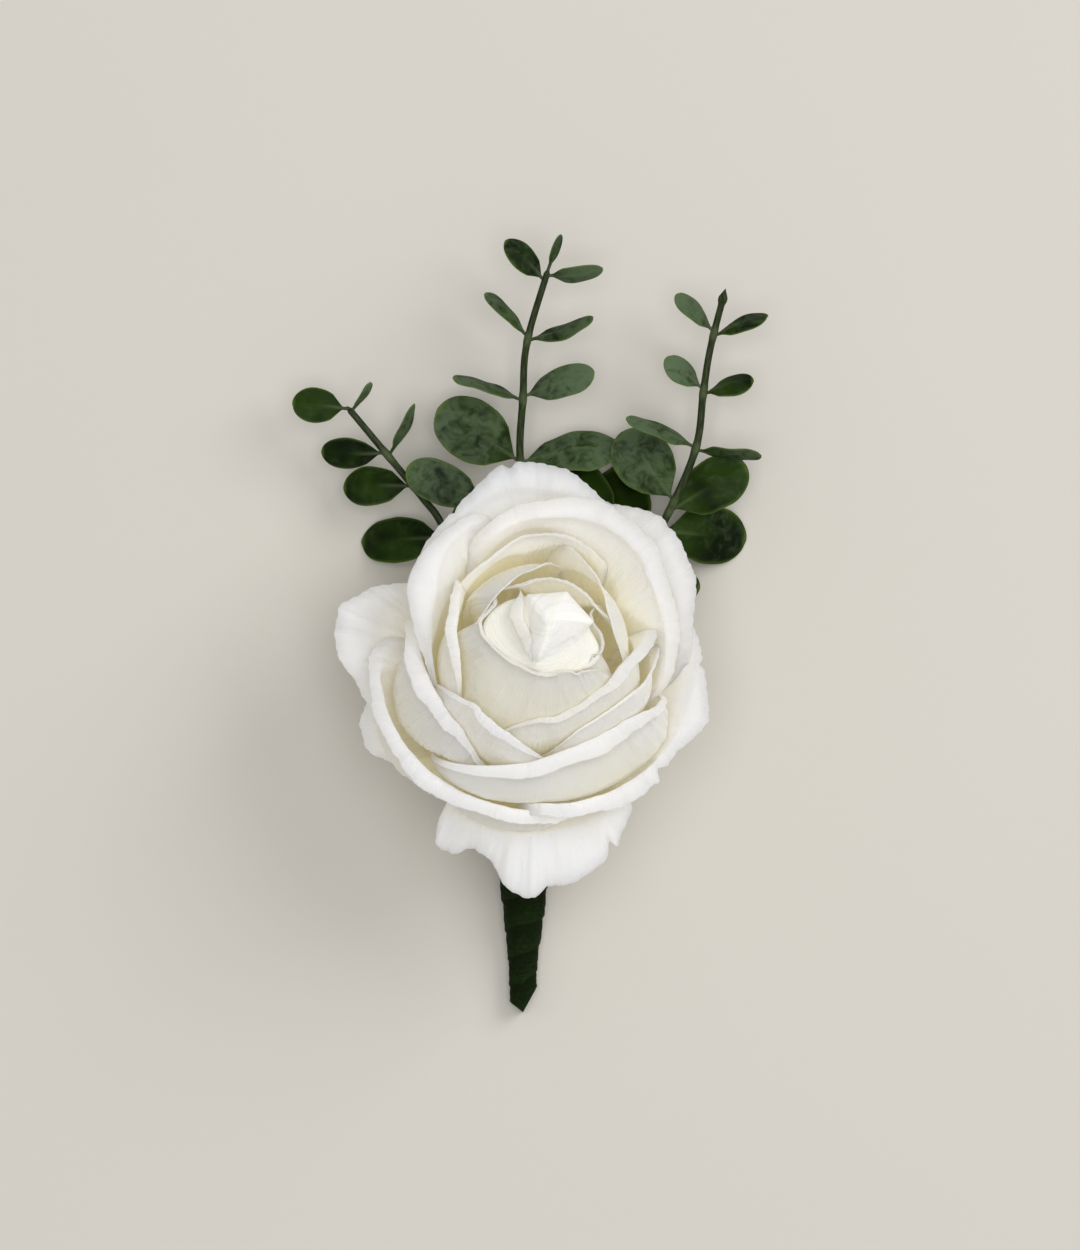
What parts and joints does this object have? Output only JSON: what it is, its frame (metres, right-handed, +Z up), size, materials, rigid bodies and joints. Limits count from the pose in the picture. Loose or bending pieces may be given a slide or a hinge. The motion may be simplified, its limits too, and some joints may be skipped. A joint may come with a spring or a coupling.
{
  "type": "boutonniere",
  "caption": "Boutonniere: one open white rose backed by eucalyptus sprigs, on a short tapering stem wrapped in dark green florist's tape, lying flower up.",
  "frame": {"origin": "centre of the bounding box's bottom, on the flat surface that the boutonniere lies on", "axes": "+Z up out of the flower, +Y from the taped stem's end towards the sprigs' tips, +X to the right as seen from above with the stem's end nearest"},
  "size_m": [0.0931, 0.1531, 0.0584],
  "materials": {
    "petal": "matte",
    "calyx": "matte",
    "stem": "satin",
    "leaf": "satin",
    "tape": "matte"
  },
  "bodies": {
    "root": {"petal_heart": "petal", "petal_core_right": "petal", "petal_core_left": "petal", "petal_bud_top": "petal", "petal_bud_left": "petal", "petal_bud_right": "petal", "petal_inner_right": "petal", "petal_inner_top": "petal", "petal_inner_left": "petal", "petal_inner_low_right": "petal", "petal_inner_low_left": "petal", "petal_middle_thin": "petal", "petal_middle_top": "petal", "petal_outer_left": "petal", "petal_middle_left": "petal", "petal_middle_low": "petal", "petal_outer_top": "petal", "petal_outer_right": "petal", "petal_outer_low_left": "petal", "petal_outer_low_right": "petal", "petal_guard_left": "petal", "petal_guard_low_left": "petal", "petal_guard_low": "petal", "petal_guard_back": "petal", "calyx": "calyx", "rose_stem": "stem", "sprig_left": "stem", "sprig_centre": "stem", "sprig_right": "stem", "leaf_left_1": "leaf", "leaf_left_2": "leaf", "leaf_left_3": "leaf", "leaf_left_4": "leaf", "leaf_left_5": "leaf", "leaf_left_6": "leaf", "leaf_left_7": "leaf", "leaf_centre_1": "leaf", "leaf_centre_2": "leaf", "leaf_centre_3": "leaf", "leaf_centre_4": "leaf", "leaf_centre_5": "leaf", "leaf_centre_6": "leaf", "leaf_centre_7": "leaf", "leaf_centre_8": "leaf", "leaf_centre_9": "leaf", "leaf_centre_10": "leaf", "leaf_right_1": "leaf", "leaf_right_2": "leaf", "leaf_right_3": "leaf", "leaf_right_4": "leaf", "leaf_right_5": "leaf", "leaf_right_6": "leaf", "leaf_right_7": "leaf", "leaf_right_8": "leaf", "leaf_right_9": "leaf", "leaf_right_10": "leaf", "leaf_back_1": "leaf", "leaf_back_2": "leaf", "tape_wrap": "tape"}
  },
  "joints": []
}
